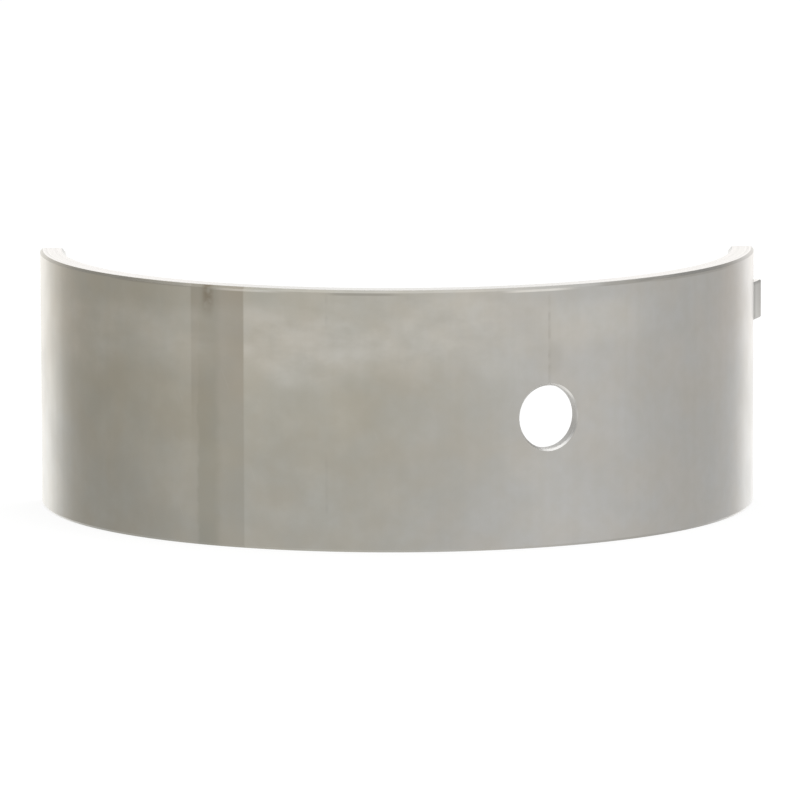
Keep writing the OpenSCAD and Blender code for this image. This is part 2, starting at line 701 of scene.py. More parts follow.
    def _steel(self, finish: MetalFinish, patches: Socket) -> Socket:
        """Goes from an olive cast at the plain end, blotched low down, to clean grey at the lug end.

        Args:
            finish: the finish that is built.
            patches: the mask of the broad cloudy patches.

        Returns:
            The colour of the steel.
        """
        nodes = finish.nodes
        drift = nodes.sway(finish.angle, finish.noise(self.cast_noise), self.cast_reach)
        cast = nodes.step(drift, *self.cast)
        steel = nodes.mix(cast, self.olive_steel, self.grey_steel)
        share = nodes.step(cast, *self.patch_share)
        steel = nodes.mix(nodes.times(patches, share), steel, self.dull_patch)
        side = nodes.step(finish.angle, *self.blotch_share)
        low = nodes.step(finish.height, *self.blotch_fall)
        return nodes.mix(nodes.times(side, low, finish.clouds(self.blotches)), steel, self.dull_patch)

    def _film(self, finish: MetalFinish, color: Socket) -> Socket:
        """Lays a brown film on the plain end, up to a crisp line, with a redder strip, and darkens an olive
        band along the crisp line and down the strip.

        Args:
            finish: the finish that is built.
            color: the colour below the film.

        Returns:
            The colour with the film.
        """
        nodes, angle, height = finish.nodes, finish.angle, finish.height
        inside = nodes.step(angle, *self.film_edge)
        color = nodes.mix(nodes.times(inside, self.film_share), color, self.brown_film)
        upper = nodes.step(height, *self.red_rise)
        crisp = nodes.times(nodes.step(angle, *self.strip_edge), upper)
        strip = nodes.times(nodes.most(crisp, nodes.step(angle, *self.strip_haze)), inside)
        film = nodes.mix(upper, self.brown_film, self.red_film)
        color = nodes.mix(nodes.times(strip, self.strip_share), color, film)
        rind = nodes.times(crisp, nodes.step(angle, *self.rind_share))
        ragged = nodes.sway(angle, finish.noise(self.core_noise), self.core_reach)
        core = nodes.times(nodes.window(ragged, *self.core), nodes.step(height, *self.core_share))
        color = nodes.mix(nodes.most(rind, core), color, self.olive_core)
        brim = nodes.times(strip, nodes.step(height, *self.strip_brim))
        return nodes.mix(brim, color, self.brown_spot)

    def _wiped_mask(self, finish: MetalFinish) -> Socket:
        """Masks the paler wiped zones: below the upper edge to past the crown, and low on the plain end.

        Args:
            finish: the finish that is built.

        Returns:
            The mask.
        """
        nodes, angle, height = finish.nodes, finish.angle, finish.height
        wander = finish.noise(self.wipe_noise)
        top = nodes.sway(height, wander, self.wipe_top_reach)
        foot = nodes.sway(height, wander, self.wipe_foot_reach)
        below = nodes.step(foot, *self.wipe_foot)
        above = nodes.most(nodes.step(top, *self.wipe_top), nodes.step(angle, *self.wipe_brink))
        crown = nodes.window(angle, *self.wipe_crown)
        plain = nodes.times(nodes.window(angle, *self.wipe_plain), self.wipe_plain_share)
        strokes = nodes.step(finish.noise(self.wipe_strokes), *self.wipe_weight)
        zone = nodes.times(below, above, nodes.most(crown, plain), strokes)
        return nodes.most(zone, nodes.most(self.low_end.mask(finish), self.smear.mask(finish, top)))

    def _marks(self, finish: MetalFinish, color: Socket) -> Socket:
        """Adds the die lines, a smudge beside one of them, the brown spot, and painted shade and painted
        highlights along the upper edge.

        Args:
            finish: the finish that is built.
            color: the colour below the marks.

        Returns:
            The colour with the marks.
        """
        nodes = finish.nodes
        broken = nodes.step(finish.noise(self.line_noise), *self.line_breaks)
        for line in self.die_lines:
            color = nodes.mix(nodes.times(line.mask(finish), broken), color, self.die_line)
        color = nodes.mix(self.smudge.mask(finish), color, self.die_line)
        specks = nodes.step(finish.noise(self.spot_noise), *self.spot_specks)
        color = nodes.mix(nodes.times(self.spot.mask(finish), specks), color, self.brown_spot)
        # painted shade along the upper edge
        for shade in self.edge_shades:
            color = nodes.mix(shade.mask(finish), color, self.die_line)
        # painted highlights along the upper chamfer
        for glint in self.edge_glints:
            color = nodes.mix(glint.mask(finish), color, self.burnished_edge)
        return color

    def _tints(self, finish: MetalFinish, color: Socket) -> Socket:
        """Tints the steel: cooler towards the lower edge, warmer high up at both ends, and in patches.

        Args:
            finish: the finish that is built.
            color: the colour to tint.

        Returns:
            The tinted colour.
        """
        nodes, angle, height = finish.nodes, finish.angle, finish.height
        ends = nodes.step(nodes.math("ABSOLUTE", angle), *self.tint_ends)
        lowered = nodes.math("SUBTRACT", height, nodes.times(ends, self.cool_drop))
        cool = nodes.times(nodes.step(lowered, *self.cool_fall), nodes.step(angle, *self.cool_side))
        color = nodes.mix(cool, color, self.cool_tint, "MULTIPLY")
        warm = nodes.times(ends, nodes.step(height, *self.warm_rise))
        color = nodes.mix(warm, color, self.warm_tint, "MULTIPLY")
        tints = nodes.mix(finish.clouds(self.tints), self.warm_tint, self.cool_tint)
        return nodes.mix(self.tint_share, color, tints, "MULTIPLY")

    def _wear(self, finish: MetalFinish, color: Socket) -> Socket:
        """Adds faint rolling streaks, a fine mottle and a few hairlines.

        Args:
            finish: the finish that is built.
            color: the colour below the wear.

        Returns:
            The worn colour.
        """
        nodes = finish.nodes
        share = nodes.step(finish.angle, *self.streak_share)
        streaks = nodes.times(finish.lines(finish.arc, self.streaks), share)
        color = nodes.mix(streaks, color, self.dull_patch)
        mottle = nodes.times(finish.clouds(self.mottle), self.mottle_share)
        color = nodes.mix(mottle, color, self.dull_patch)
        hairs = nodes.times(finish.scratches(self.hairs), self.hair_share)
        return nodes.mix(hairs, color, self.wiped_film)

    def _lug(self, finish: MetalFinish, rise: Socket) -> Socket:
        """Colours the lug, with a painted shadow at its foot and painted shade towards its upper edge.

        Args:
            finish: the finish that is built.
            rise: how far a point stands out from the back.

        Returns:
            The colour of the lug.
        """
        nodes, height = finish.nodes, finish.height
        # painted shadow at the lug's foot
        tab = nodes.mix(nodes.step(rise, *self.foot_rise), self.lug_foot, self.pressed_lug)
        # painted shade, darkest at the lug's upper edge
        top_shade_mask = nodes.most(nodes.step(height, *self.brow_edge), nodes.step(height, *self.brow_shade))
        return nodes.mix(top_shade_mask, tab, self.lug_brow)


@dataclass(frozen=True)
class MachinedEdge:
    """Bright turned steel of the side faces and joint faces, with painted shade over the stretch at the
    crown.
    """

    steel: Color = (0.665, 0.637, 0.613)
    # painted shade: the steel is darker at the crown and lighter towards both ends
    oily_steel: Color = (0.500, 0.490, 0.470)
    oily_edge: Ramp = Ramp(14.0, 46.0)
    tool_line: Color = (0.520, 0.500, 0.475)
    lines: Lines = Lines(0.14, 0.05)
    stains: Clouds = Clouds(0.3)
    dark_share: float = 0.09
    roughness: float = 0.20
    line_roughness: float = 0.06
    line_depth: float = 0.0008 * MM

    def build(self, groups: FinishGroups) -> bpy.types.Material:
        """Makes the material of the machined faces.

        Args:
            groups: the shared node groups.

        Returns:
            The material.
        """
        finish = MetalFinish(Region.EDGE, groups)
        nodes = finish.nodes
        lines = finish.lines(finish.radius, self.lines)
        share = nodes.times(nodes.math("ADD", lines, finish.clouds(self.stains)), self.dark_share)
        # painted shade at the crown
        crown_unshaded = nodes.step(nodes.math("ABSOLUTE", finish.angle), *self.oily_edge)
        color = nodes.mix(share, nodes.mix(crown_unshaded, self.oily_steel, self.steel), self.tool_line)
        roughness = nodes.math("ADD", nodes.times(lines, self.line_roughness), self.roughness)
        return finish.close(color, roughness, lines, self.line_depth)


@dataclass(frozen=True)
class DrilledHole:
    """Bare steel of the oil hole's wall, and its chamfered rim, with a painted highlight above and below.
    """

    steel: Color = (0.680, 0.673, 0.660)
    worn: Color = (0.600, 0.593, 0.580)
    wear: Clouds = Clouds(0.8)
    wear_share: float = 0.3
    rim: Color = (0.560, 0.552, 0.535)
    # painted highlight on the rim above and below the hole
    lip: Color = (0.850, 0.842, 0.825)
    chamfer: Ramp = Ramp(0.14, 0.24, 1.0, 0.0)
    burnish: Ramp = Ramp(0.6, 2.4)
    roughness: float = 0.55
    rim_roughness: float = 0.32
    grain: Noise = Noise(6.0, 2.0)
    grain_depth: float = 0.002 * MM

    def build(self, groups: FinishGroups, back_r: float) -> bpy.types.Material:
        """Makes the material of the oil hole.

        Args:
            groups: the shared node groups.
            back_r: radius of the back, which the rim lies close under.

        Returns:
            The material.
        """
        finish = MetalFinish(Region.HOLE, groups)
        nodes = finish.nodes
        wall = nodes.mix(nodes.times(finish.clouds(self.wear), self.wear_share), self.steel, self.worn)
        depth = nodes.math("SUBTRACT", back_r * PER_MM, finish.radius)
        chamfer = nodes.step(depth, *self.chamfer)
        # painted highlight on the rim, by height
        burnish = nodes.step(nodes.math("ABSOLUTE", finish.height), *self.burnish)
        color = nodes.mix(chamfer, wall, nodes.mix(burnish, self.rim, self.lip))
        roughness = nodes.step(chamfer, 0.0, 1.0, self.roughness, self.rim_roughness)
        return finish.close(color, roughness, finish.noise(self.grain), self.grain_depth)


@dataclass(frozen=True)
class BoredLining:
    """Fine-bored bearing metal of the running surface and the oil groove."""

    lining: Color = (0.590, 0.585, 0.570)
    tool_line: Color = (0.450, 0.445, 0.430)
    rubbed_line: Color = (0.680, 0.676, 0.660)
    lines: Lines = Lines(0.16, 0.04)
    stains: Clouds = Clouds(0.12)
    dark_share: float = 0.20
    hairs: Scratches = Scratches(5.0, 0.04, 0.10)
    hair_share: float = 0.4
    roughness: float = 0.30
    line_roughness: float = 0.10
    line_depth: float = 0.0025 * MM

    def build(self, groups: FinishGroups) -> bpy.types.Material:
        """Makes the material of the bore.

        Args:
            groups: the shared node groups.

        Returns:
            The material.
        """
        finish = MetalFinish(Region.BORE, groups)
        nodes = finish.nodes
        lines = finish.lines(finish.height, self.lines)
        share = nodes.times(nodes.math("ADD", lines, finish.clouds(self.stains)), self.dark_share)
        color = nodes.mix(share, self.lining, self.tool_line)
        hairs = nodes.times(finish.scratches(self.hairs), self.hair_share)
        color = nodes.mix(hairs, color, self.rubbed_line)
        roughness = nodes.math("ADD", nodes.times(lines, self.line_roughness), self.roughness)
        return finish.close(color, roughness, lines, self.line_depth)


@dataclass(frozen=True)
class ShellSizes:
    """Sizes of the shell, in metres and radians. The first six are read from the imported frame."""

    back_r: float
    bore_r: float
    width: float
    lug_h: float
    hole_r: float
    hole_angle: float
    back_chamfer: float = 0.25 * MM
    bore_chamfer: float = 0.4 * MM
    joint_bevel: float = 0.3 * MM
    hole_chamfer: float = 0.25 * MM
    groove_w: float = 6.8 * MM
    groove_depth: float = 1.4 * MM
    groove_draft: float = math.radians(12.0)
    lug_w: float = 3.7 * MM
    lug_len: float = 2.5 * MM
    lug_inset: float = 3.3 * MM
    lug_corner_r: float = 0.15 * MM
    recess_depth: float = 0.9 * MM
    over: float = 1.0 * MM
    overturn: float = math.radians(3.0)

    @classmethod
    def from_frame(cls) -> "ShellSizes":
        """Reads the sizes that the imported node's box and the record's mounts give.

        Returns:
            The sizes.
        """
        low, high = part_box(NODE)
        mounts = {mount["name"]: mount for mount in frame["record"]["mounts"]}
        feed_x, feed_y, _ = mounts["oil_hole"]["axis"]
        back_r = mounts["housing_seat"]["dims"]["r_mm"] * MM
        return cls(
            back_r=back_r,
            bore_r=mounts["journal_bore"]["dims"]["r_mm"] * MM,
            width=high.z - low.z,
            lug_h=high.x - back_r,
            hole_r=mounts["oil_hole"]["dims"]["r_mm"] * MM,
            hole_angle=math.atan2(feed_x, -feed_y),
        )

    @property
    def wall(self) -> float:
        """Thickness of the wall."""
        return self.back_r - self.bore_r

    @property
    def lug_z(self) -> float:
        """Height of the lug's middle over mid-width."""
        return self.width / 2 - self.lug_inset - self.lug_w / 2

    @property
    def hole_way(self) -> Vector:
        """Direction of the oil hole, away from the axis of the bearing."""
        return Vector((math.sin(self.hole_angle), -math.cos(self.hole_angle), 0.0))

    def ramp(self, radius: float, rise: float, depth: float) -> list[Vector]:
        """Corners of a ramp that leaves a circle at the lug's length and runs past the joint plane.

        Args:
            radius: the circle's radius.
            rise: how far the ramp stands out at the joint plane.
            depth: how far the outline reaches inwards.

        Returns:
            The four corners, in the plane of the circle.
        """
        toe_x = math.sqrt(radius ** 2 - self.lug_len ** 2)
        slope = (radius + rise - toe_x) / self.lug_len
        return flat_corners(
            (toe_x, -self.lug_len),
            (toe_x - depth, -self.lug_len),
            (radius - depth, self.over),
            (radius + rise + slope * self.over, self.over),
        )


class ShellTree:
    """Geometry Nodes that roll, press, groove and drill the shell from its named sizes."""

    KINDS = {float: "Float", Vector: "Vector", bpy.types.Material: "Material"}
    ARC_POINTS = 521
    ROUND_POINTS = 128
    CORNER_POINTS = 8
    BORE_CORNERS = 2
    COMPARE_INT_A = 2
    COMPARE_INT_B = 3
    LAID_OVER = (math.pi / 2, 0.0, 0.0)
    ON_EDGE = (0.0, 0.0, math.pi / 4)
    BACK_FACING = 0.6
    HOLE_FACING = 0.9
    BORE_FACING = -0.6
    WELD = 0.001 * MM

    def __init__(self, sizes: ShellSizes, finishes: dict[Region, bpy.types.Material]) -> None:
        """Builds the tree.

        Args:
            sizes: the shell's sizes.
            finishes: the material of each region.
        """
        self.sizes = sizes
        self.finishes = finishes
        self.tree = bpy.data.node_groups.new("bearing_shell_form", "GeometryNodeTree")
        self.values: dict[str, Any] = {}
        self.nodes = NodeWriter(self.tree)
        self.given = self.nodes.add("NodeGroupInput")
        self.tree.interface.new_socket("Shell", in_out="OUTPUT", socket_type="NodeSocketGeometry")
        blank = self._join(Joining.UNION, [self._wall(), self._lug()])
        cutters = [self._recess(), self._groove(), self._hole(), self._hole_mouth(), self._bevels()]
        shell = self._join(Joining.DIFFERENCE, [*cutters, self._beyond_joint()], blank)
        self.nodes.add("NodeGroupOutput", {"Shell": self._dress(shell)})

    def _size(self, name: str, value: float | Vector | bpy.types.Material) -> Socket:
        """Adds a named input to the tree.

        Args:
            name: the input's name.
            value: what the modifier gives it.

        Returns:
            The socket that carries it.
        """
        kind = self.KINDS[type(value)]
        item = self.tree.interface.new_socket(name, in_out="INPUT", socket_type=f"NodeSocket{kind}")
        self.values[item.identifier] = value
        return next(socket for socket in self.given.outputs if socket.identifier == item.identifier)

    def _join(self, way: Joining, parts: list[Socket], base: Socket | None = None) -> Socket:
        """Joins solids with a boolean.

        Args:
            way: how they are joined.
            parts: the solids that are added, taken away or kept in common.
            base: the solid that others are taken from.

        Returns:
            The joined solid.
        """
        inputs: Inputs = {"Mesh 2": parts}
        if base is not None:
            inputs["Mesh 1"] = base
        return self.nodes.out("GeometryNodeMeshBoolean", inputs, operation=way.value, solver="MANIFOLD")

    def _move(self, shape: Socket, place: Any = ORIGIN, turn: Any = ORIGIN) -> Socket:
        """Turns a shape and then moves it."""
        inputs = {"Geometry": shape, "Translation": place, "Rotation": turn}
        return self.nodes.out("GeometryNodeTransform", inputs)

    def _outline(self, name: str, corners: list[Vector]) -> Socket:
        """Adds a closed outline through four named corners.

        Args:
            name: what is outlined, for the names of the inputs.
            corners: the corners, in order.

        Returns:
            The outline.
        """
        inputs: Inputs = {}
        for place, corner in enumerate(corners, start=1):
            inputs[f"Point {place}"] = self._size(f"{name} Corner {place}", corner)
        return self.nodes.out("GeometryNodeCurvePrimitiveQuadrilateral", inputs, mode="POINTS")

    def _sweep(self, name: str, radius: float, section: Socket) -> Socket:
        """Sweeps a section round the axis, a little past both joint faces.

        Args:
            name: what is swept, for the input's name.
            radius: the radius that the section's origin follows.
            section: the section, with its X axis pointing away from the axis of the bearing.

        Returns:
            The swept solid.
        """
        inputs = {
            "Resolution": self.ARC_POINTS,
            "Radius": self._size(f"{name} Path Radius", radius),
            "Start Angle": math.pi - self.sizes.overturn,
            "Sweep Angle": math.pi + 2 * self.sizes.overturn,
        }
        arc = self.nodes.out("GeometryNodeCurveArc", inputs, mode="RADIUS")
        upright = self.nodes.out("GeometryNodeSetCurveNormal", {"Curve": arc}, mode="Z_UP")
        swept = {"Curve": upright, "Profile Curve": section, "Fill Caps": True}
        return self.nodes.out("GeometryNodeCurveToMesh", swept)

    def _prism(self, outline: Socket, height: Socket) -> Socket:
        """Raises a flat outline into a closed solid.

        Args:
            outline: the outline, in the XY plane.
            height: how far it is raised.

        Returns:
            The solid.
        """
        base = self.nodes.out("GeometryNodeFillCurve", {"Curve": outline}, mode="NGONS")
        lift = {"Mesh": base, "Offset Scale": height, "Individual": False}
        raised = self.nodes.out("GeometryNodeExtrudeMesh", lift)
        bottom = self.nodes.out("GeometryNodeFlipFaces", {"Mesh": base})
        both = self.nodes.out("GeometryNodeJoinGeometry", {"Geometry": [raised, bottom]})
        return self.nodes.out("GeometryNodeMergeByDistance", {"Geometry": both, "Distance": self.WELD})

    def _wall(self) -> Socket:
        """Rolls the wall from its chamfered section.

        Returns:
            The wall.
        """
        sizes = self.sizes
        half = sizes.width / 2
        corners = flat_corners((-sizes.wall, half), (-sizes.wall, -half), (0.0, -half), (0.0, half))
        section = self._outline("Wall", corners)
        index = self.nodes.out("GeometryNodeInputIndex")
        sides = {self.COMPARE_INT_A: index, self.COMPARE_INT_B: self.BORE_CORNERS}
        on_bore = self.nodes.out("FunctionNodeCompare", sides, data_type="INT", operation="LESS_THAN")
        widths = {
            "Switch": on_bore,
            "False": self._size("Back Chamfer", sizes.back_chamfer),
            "True": self._size("Bore Chamfer", sizes.bore_chamfer),
        }
        chamfer = self.nodes.out("GeometryNodeSwitch", widths, input_type="FLOAT")
        cut = {"Curve": section, "Count": 1, "Radius": chamfer}
        chamfered = self.nodes.out("GeometryNodeFilletCurve", cut, mode="POLY")
        return self._sweep("Wall", sizes.back_r, chamfered)

    def _lug(self) -> Socket:
        """Presses out the lug: a ramp whose two outer corners are round.

        Returns:
            The lug.
        """
        sizes = self.sizes
        half = sizes.lug_w / 2
        width = self._size("Lug Width", sizes.lug_w)
        outline = self._outline("Lug Ramp", sizes.ramp(sizes.back_r, sizes.lug_h, sizes.wall / 2))
        foot = self._size("Lug Foot", Vector((0.0, 0.0, sizes.lug_z - half)))
        ramp = self._move(self._prism(outline, width), foot)
        tip = sizes.back_r + sizes.lug_h
        corners = flat_corners((sizes.bore_r, -half), (tip, -half), (tip, half), (sizes.bore_r, half))
        rounding = {
            "Curve": self._outline("Lug Face", corners),
            "Radius": self._size("Lug Corner Radius", sizes.lug_corner_r),
            "Count": self.CORNER_POINTS,
        }
        face = self.nodes.out("GeometryNodeFilletCurve", rounding, mode="POLY")
        reach = sizes.lug_len + sizes.over
        tab = self._prism(face, self._size("Lug Tab Length", 2 * reach))
        place = self._size("Lug Tab Place", Vector((0.0, reach, sizes.lug_z)))
        return self._join(Joining.INTERSECT, [ramp, self._move(tab, place, self.LAID_OVER)])

    def _recess(self) -> Socket:
        """Makes the cutter for the recess that the press leaves in the bore behind the lug.

        Returns:
            The cutter.
        """
        sizes = self.sizes
        outline = self._outline("Recess", sizes.ramp(sizes.bore_r, sizes.recess_depth, sizes.over))
        prism = self._prism(outline, self._size("Recess Width", sizes.lug_w))
        foot = Vector((0.0, 0.0, sizes.lug_z - sizes.lug_w / 2))
        return self._move(prism, self._size("Recess Foot", foot))

    def _groove(self) -> Socket:
        """Makes the cutter for the oil groove along the bore: a flat floor between two leaning sides.

        Returns:
            The cutter.
        """
        sizes = self.sizes
        lean = math.tan(sizes.groove_draft)
        floor = sizes.groove_w / 2 - sizes.groove_depth * lean
        mouth = sizes.groove_w / 2 + sizes.over * lean
        top, depth = -sizes.over, sizes.groove_depth
        corners = flat_corners((top, mouth), (top, -mouth), (depth, -floor), (depth, floor))
        return self._sweep("Groove", sizes.bore_r, self._outline("Groove", corners))

    def _aim(self, shape: Socket, name: str, distance: float) -> Socket:
        """Turns an upright cutter to the oil hole's direction and sets it at a distance from the axis.

        Args:
            shape: the cutter.
            name: what it cuts, for the names of the inputs.
            distance: how far its middle is from the axis of the bearing.

        Returns:
            The placed cutter.
        """
        turn = self._size(f"{name} Turn", Vector((math.pi / 2, 0.0, self.sizes.hole_angle)))
        place = self._size(f"{name} Place", self.sizes.hole_way * distance)
        return self._move(shape, place, turn)

    def _hole(self) -> Socket:
        """Makes the drill for the oil hole.

        Returns:
            The cutter.
        """
        sizes = self.sizes
        drill = {
            "Vertices": self.ROUND_POINTS,
            "Radius": self._size("Hole Radius", sizes.hole_r),
            "Depth": self._size("Hole Cutter Depth", sizes.wall + 2 * sizes.over),
        }
        cutter = self.nodes.out("GeometryNodeMeshCylinder", drill)
        return self._aim(cutter, "Hole", (sizes.back_r + sizes.bore_r) / 2)

    def _hole_mouth(self) -> Socket:
        """Makes the countersink for the outer mouth of the oil hole.

        Returns:
            The cutter.
        """
        sizes = self.sizes
        depth = sizes.hole_chamfer + sizes.over
        sink = {
            "Vertices": self.ROUND_POINTS,
            "Radius Bottom": self._size("Mouth Inner Radius", sizes.hole_r),
            "Radius Top": self._size("Mouth Outer Radius", sizes.hole_r + depth),
            "Depth": self._size("Mouth Cutter Depth", depth),
        }
        cutter = self.nodes.out("GeometryNodeMeshCone", sink)
        return self._aim(cutter, "Mouth", sizes.back_r - sizes.hole_chamfer)

    def _bevels(self) -> Socket:
        """Makes the cutters for the bore edge of both joint faces: one bar, instanced at each.

        Returns:
            The two cutters.
        """
        sizes = self.sizes
        side = sizes.joint_bevel * math.sqrt(2)
        bar = self._size("Bevel Cutter Size", Vector((side, side, sizes.width + 2 * sizes.over)))
        cutter = self._move(self.nodes.out("GeometryNodeMeshCube", {"Size": bar}), turn=self.ON_EDGE)
        ends = {
            "Count": 2,
            "Start Location": self._size("Bevel Start", Vector((-sizes.bore_r, 0.0, 0.0))),
            "Offset": self._size("Bevel End", Vector((sizes.bore_r, 0.0, 0.0))),
        }
        points = self.nodes.out("GeometryNodeMeshLine", ends, mode="END_POINTS")
        pair = self.nodes.out("GeometryNodeInstanceOnPoints", {"Points": points, "Instance": cutter})
        return self.nodes.out("GeometryNodeRealizeInstances", {"Geometry": pair})

    def _beyond_joint(self) -> Socket:
        """Makes the block that takes away all that reaches past the joint plane.

        Returns:
            The cutter.
        """
        sizes = self.sizes
        block = Vector((4 * sizes.back_r, sizes.back_r, 2 * sizes.width))
        cube = self.nodes.out("GeometryNodeMeshCube", {"Size": self._size("Joint Cutter Size", block)})
        return self._move(cube, self._size("Joint Cutter Place", Vector((0.0, block.y / 2, 0.0))))

    def _faces(self, operation: str, value: Socket, bound: float | Socket) -> Socket:
        """Selects the faces whose value is above or below a bound."""
        return self.nodes.out("FunctionNodeCompare", {"A": value, "B": bound}, operation=operation)

    def _both(self, first: Socket, second: Socket) -> Socket:
        """Selects the faces that two selections share."""
        return self.nodes.out("FunctionNodeBooleanMath", {0: first, 1: second}, operation="AND")

    def _hole_faces(self, position: Socket, facing: Socket) -> Socket:
        """Selects the faces of the oil hole, which lie close round its axis and aren't part of the back.

        Args:
            position: the place of each face.
            facing: how far each face looks away from the axis of the bearing.

        Returns:
            The selection.
        """
        sizes = self.sizes
        axis = self._size("Hole Axis", sizes.hole_way)
        across = self.nodes.vectors("CROSS_PRODUCT", position, axis)[0]
        distance = self.nodes.vectors("LENGTH", across)["Value"]
        ahead = self.nodes.vectors("DOT_PRODUCT", position, axis)["Value"]
        reach = self._size("Hole Mouth Radius", sizes.hole_r + sizes.hole_chamfer)
        near = self._faces("LESS_THAN", distance, reach)
        in_front = self._faces("GREATER_THAN", ahead, 0.0)
        walls = self._faces("LESS_THAN", facing, self.HOLE_FACING)
        return self._both(self._both(near, in_front), walls)

    def _dress(self, shell: Socket) -> Socket:
        """Gives each face its region's material, by how far it faces away from the axis.

        Args:
            shell: the bare shell.

        Returns:
            The dressed shell.
        """
        position = self.nodes.out("GeometryNodeInputPosition")
        flat = self.nodes.vectors("MULTIPLY", position, (1.0, 1.0, 0.0))[0]
        outward = self.nodes.vectors("NORMALIZE", flat)[0]
        normal = self.nodes.out("GeometryNodeInputNormal")
        facing = self.nodes.vectors("DOT_PRODUCT", outward, normal)["Value"]
        chosen = {
            Region.EDGE: True,
            Region.BACK: self._faces("GREATER_THAN", facing, self.BACK_FACING),
            Region.HOLE: self._hole_faces(position, facing),
            Region.BORE: self._faces("LESS_THAN", facing, self.BORE_FACING),
        }
        shape = self.nodes.out("GeometryNodeRealizeInstances", {"Geometry": shell})
        for region, faces in chosen.items():
            finish = self._size(f"{region.name.title()} Finish", self.finishes[region])
            coat = {"Geometry": shape, "Selection": faces, "Material": finish}
            shape = self.nodes.out("GeometryNodeSetMaterial", coat)
        return shape


@dataclass(frozen=True)
class BearingShell:
    """The shell itself, the one piece of the object."""

    sizes: ShellSizes
    name: str = "half_shell"
    sharp_angle: float = math.radians(20.0)
    weld: float = 0.0005 * MM

    def finishes(self) -> dict[Region, bpy.types.Material]:
        """Makes the material of each region.

        Returns:
            The materials.
        """
        groups = FinishGroups(self.sizes.back_r)
        return {
            Region.BACK: SteelBack().build(groups, self.sizes.back_r),
            Region.EDGE: MachinedEdge().build(groups),
            Region.HOLE: DrilledHole().build(groups, self.sizes.back_r),
            Region.BORE: BoredLining().build(groups),
        }

    def build(self) -> bpy.types.Object:
        """Shapes the shell with its node tree, turns it into a plain mesh and sets it in the frame.

        Returns:
            The finished piece.
        """
        shape = ShellTree(self.sizes, self.finishes())
        piece = bpy.data.objects.new(self.name, bpy.data.meshes.new(self.name))
        bpy.context.scene.collection.objects.link(piece)
        modifier = piece.modifiers.new("shell_form", "NODES")
        modifier.node_group = shape.tree
        for identifier, value in shape.values.items():
            modifier[identifier] = value
        depsgraph = bpy.context.evaluated_depsgraph_get()
        mesh = bpy.data.meshes.new_from_object(piece.evaluated_get(depsgraph), depsgraph=depsgraph)
        piece.modifiers.remove(modifier)
        piece.data = mesh
        mesh.name = self.name
        self._settle(mesh)
        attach(piece, BODY)
        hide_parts(NODE)
        return piece

    def _settle(self, mesh: bpy.types.Mesh) -> None:
        """Drops empty slots, welds the seams, smooths the round faces and logs whether the mesh is closed.

        Args:
            mesh: the shell's mesh, which is changed.
        """
        for index in reversed(range(len(mesh.materials))):
            if mesh.materials[index] is None:
                mesh.materials.pop(index=index)
        work = bmesh.new()
        work.from_mesh(mesh)
        bmesh.ops.remove_doubles(work, verts=work.verts, dist=self.weld)
        bmesh.ops.dissolve_degenerate(work, dist=self.weld, edges=work.edges)
        loose = sum(1 for edge in work.edges if not edge.is_manifold)
        volume = work.calc_volume(signed=True) * PER_MM ** 3
        work.to_mesh(mesh)
        work.free()
        mesh.shade_smooth()
        mesh.set_sharp_from_angle(angle=self.sharp_angle)
        triangles = sum(len(face.vertices) - 2 for face in mesh.polygons)
        LOG.info("%s: %d triangles, %d open edges, %.1f mm3", self.name, triangles, loose, volume)


@dataclass(frozen=True)
class Surround:
    """The white studio as the metal mirrors it: a tone for each bearing, two above and two below.

    A span tells between which slopes a tone comes in: 1 is straight up, 0 is level and -1 is straight down.
    """

    back: Color = (1.65, 1.64, 1.62)
    plain_side: Color = (0.68, 0.665, 0.630)
    front: Color = (0.99, 0.978, 0.953)
    key_side: Color = (1.12, 1.115, 1.10)
    lug_side: Color = (0.87, 0.865, 0.85)
    wall_share: float = 0.79
    wall_span: Span = (-0.02, 0.10)
    roof: Color = (0.47, 0.47, 0.46)
    roof_span: Span = (0.22, 0.42)
    zenith: Color = (0.20, 0.20, 0.195)
    zenith_span: Span = (0.70, 0.86)
    ground: Color = (0.72, 0.715, 0.695)
    ground_span: Span = (-0.28, -0.50)
    underfoot: Color = (1.02, 1.01, 0.985)
    underfoot_span: Span = (-0.65, -0.95)

    def stops(self) -> dict[float, Color]:
        """Gives the tone at each bearing.

        Returns:
            The tones, by degrees from the camera's side and towards the lug.
        """
        return {
            -154.0: self.back,
            -131.0: self.plain_side,
            -105.0: self.plain_side,
            -55.0: self.front,
            0.0: self.front,
            58.0: self.key_side,
            112.0: self.lug_side,
            138.0: self.lug_side,
            158.0: self.back,
        }

    def color(self, nodes: ShaderWriter, way: Socket) -> Socket:
        """Adds the nodes that turn a direction into the tone there.

        Args:
            nodes: the world's writer.
            way: the direction.

        Returns:
            The tone.
        """
        axes = nodes.add("ShaderNodeSeparateXYZ", {0: way}).outputs
        bearing = nodes.math("ARCTAN2", axes["X"], nodes.times(axes["Y"], -1.0))
        turn = nodes.math("ADD", nodes.math("DIVIDE", bearing, math.radians(FULL_TURN)), 0.5)
        ramp = nodes.add("ShaderNodeValToRGB", {0: turn})
        ramp.color_ramp.interpolation = "EASE"
        for end in ramp.color_ramp.elements:
            end.color = rgba(self.back)
        for angle, tone in self.stops().items():
            ramp.color_ramp.elements.new(angle / FULL_TURN + 0.5).color = rgba(tone)
        horizon = ramp.outputs[0]
        layers = (
            (self.wall_span, nodes.mix(1.0, horizon, (self.wall_share,) * 3, "MULTIPLY")),
            (self.roof_span, self.roof),
            (self.zenith_span, self.zenith),
            (self.ground_span, self.ground),
            (self.underfoot_span, self.underfoot),
        )
        tone = horizon
        for (start, full), layer in layers:
            share = nodes.step(axes["Z"], start, full)
            tone = nodes.mix(share, tone, layer)
        return tone


